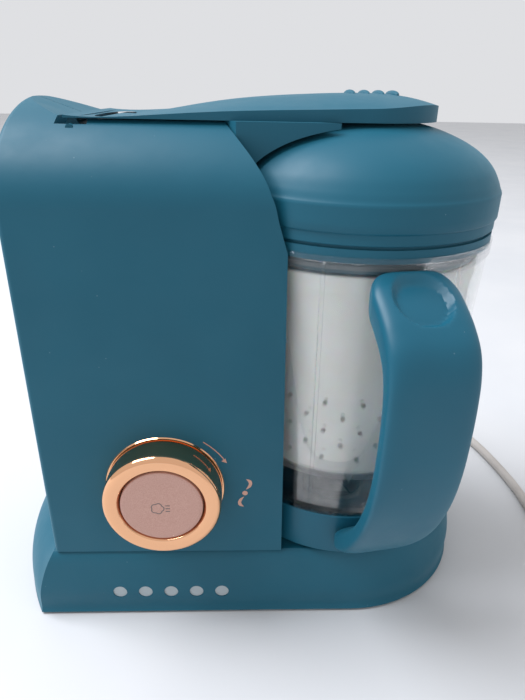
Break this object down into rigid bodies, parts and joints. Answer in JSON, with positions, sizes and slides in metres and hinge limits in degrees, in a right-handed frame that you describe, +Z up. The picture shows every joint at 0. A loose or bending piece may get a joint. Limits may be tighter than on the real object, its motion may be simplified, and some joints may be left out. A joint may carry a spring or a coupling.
{
  "type": "baby food maker",
  "caption": "Countertop baby food maker with a steaming tower, a hinged steam arm, a domed lid and a clear blending jug with a handle.",
  "frame": {"origin": "on the table, at the centre of the footprint of the appliance, its handle and its strain relief, without the free cord", "axes": "+Z up, -Y towards the front panel with the dial, +X towards the jug's end"},
  "size_m": [0.4199, 0.2859, 0.2696],
  "materials": {
    "teal_soft_touch": "matte soft-touch moulding",
    "teal_handle": "satin moulding",
    "rose_gold": "polished plated ring",
    "rose_button": "matte metallic paint",
    "clear_jug": "clear glass",
    "basket_plastic": "translucent white polypropylene",
    "seal_silicone": "soft grey silicone",
    "foot_rubber": "black rubber",
    "steel": "bright steel",
    "blade_steel": "ground stainless steel",
    "dark_plastic": "black moulding",
    "light_plastic": "white moulding",
    "copper": "enamelled copper wire",
    "aluminium": "die-cast",
    "board": "green laminate",
    "lens": "frosted clear plastic",
    "cord_sheath": "light grey flexible sheath",
    "plug_plastic": "light grey moulding",
    "pin_brass": "plated brass"
  },
  "bodies": {
    "housing": {"base_housing": "teal_soft_touch", "base_plate": "dark_plastic", "rubber_feet": "foot_rubber", "base_screws": "steel", "indicator_lenses": "lens", "indicator_board": "board", "front_shell": "teal_soft_touch", "rear_shell": "teal_soft_touch", "tower_screws": "steel", "arm_hinge_pin": "steel", "dial_trim": "dark_plastic", "dial_holder": "dark_plastic", "dial_spring": "steel", "button_spring": "steel", "micro_switches": "dark_plastic", "control_board": "board", "drive_belt": "foot_rubber", "spindle_bearing": "light_plastic", "motor_stator": "steel", "motor_windings": "copper", "motor_bearings": "copper", "motor_bracket": "aluminium", "boiler_tank": "aluminium", "boiler_collar": "seal_silicone", "heater_plate": "aluminium", "heater_element": "steel", "thermostat": "dark_plastic", "thermal_fuse": "light_plastic", "boiler_strap": "steel", "strain_relief": "cord_sheath", "cord_clamp": "dark_plastic", "power_cord": "cord_sheath", "cord_coil": "cord_sheath", "plug_body": "plug_plastic", "plug_pins": "pin_brass"},
    "arm": {"arm_cover": "teal_soft_touch", "arm_underside": "teal_soft_touch", "nozzle_seal": "seal_silicone", "boiler_seal": "seal_silicone"},
    "jug": {"jug_vessel": "clear_jug", "jug_handle": "teal_handle", "blade_bush": "light_plastic", "steam_basket": "basket_plastic"},
    "lid": {"lid_dome": "teal_soft_touch", "lid_liner": "teal_soft_touch", "lid_seal": "seal_silicone"},
    "drive": {"drive_pulley": "dark_plastic", "drive_shaft": "steel", "drive_coupling": "dark_plastic", "driven_cup": "dark_plastic", "blade_shaft": "steel", "blade_hub": "dark_plastic", "blades": "blade_steel"},
    "rotor": {"motor_shaft": "steel", "motor_pulley": "aluminium", "motor_armature": "steel", "motor_commutator": "copper", "motor_fan": "light_plastic"},
    "dial": {"dial_ring": "rose_gold"},
    "button": {"steam_button": "rose_button"}
  },
  "joints": [
    {"name": "arm_hinge", "type": "hinge", "parent": "housing", "child": "arm", "pos_m": [-0.07386, 0.00932, 0.2528], "axis": [0, -1, 0], "range_deg": [0, 95]},
    {"name": "jug_turn", "type": "hinge", "parent": "housing", "child": "jug", "pos_m": [0.05564, -0.00568, 0.041], "axis": [0, 0, 1], "range_deg": [0, 30]},
    {"name": "lid_turn", "type": "hinge", "parent": "jug", "child": "lid", "pos_m": [0.05564, -0.00568, 0.212], "axis": [0, 0, 1], "range_deg": [0, 25]},
    {"name": "dial_turn", "type": "hinge", "parent": "housing", "child": "dial", "pos_m": [-0.04046, -0.06068, 0.0844], "axis": [0, 1, 0], "range_deg": [0, 40], "stiffness_Nm_per_rad": 0.05},
    {"name": "button_press", "type": "slide", "parent": "housing", "child": "button", "axis": [0, 1, 0], "range_m": [0, 0.0025], "stiffness_N_per_m": 400},
    {"name": "drive_spin", "type": "hinge", "parent": "housing", "child": "drive", "pos_m": [0.05564, -0.00568, 0.041], "axis": [0, 0, 1], "continuous": true},
    {"name": "rotor_spin", "type": "hinge", "parent": "housing", "child": "rotor", "pos_m": [-0.04586, 0.02532, 0.041], "axis": [0, 0, 1], "continuous": true}
  ],
  "couplings": [
    {"joint": "rotor_spin", "follows": "drive_spin", "ratio": 3}
  ]
}
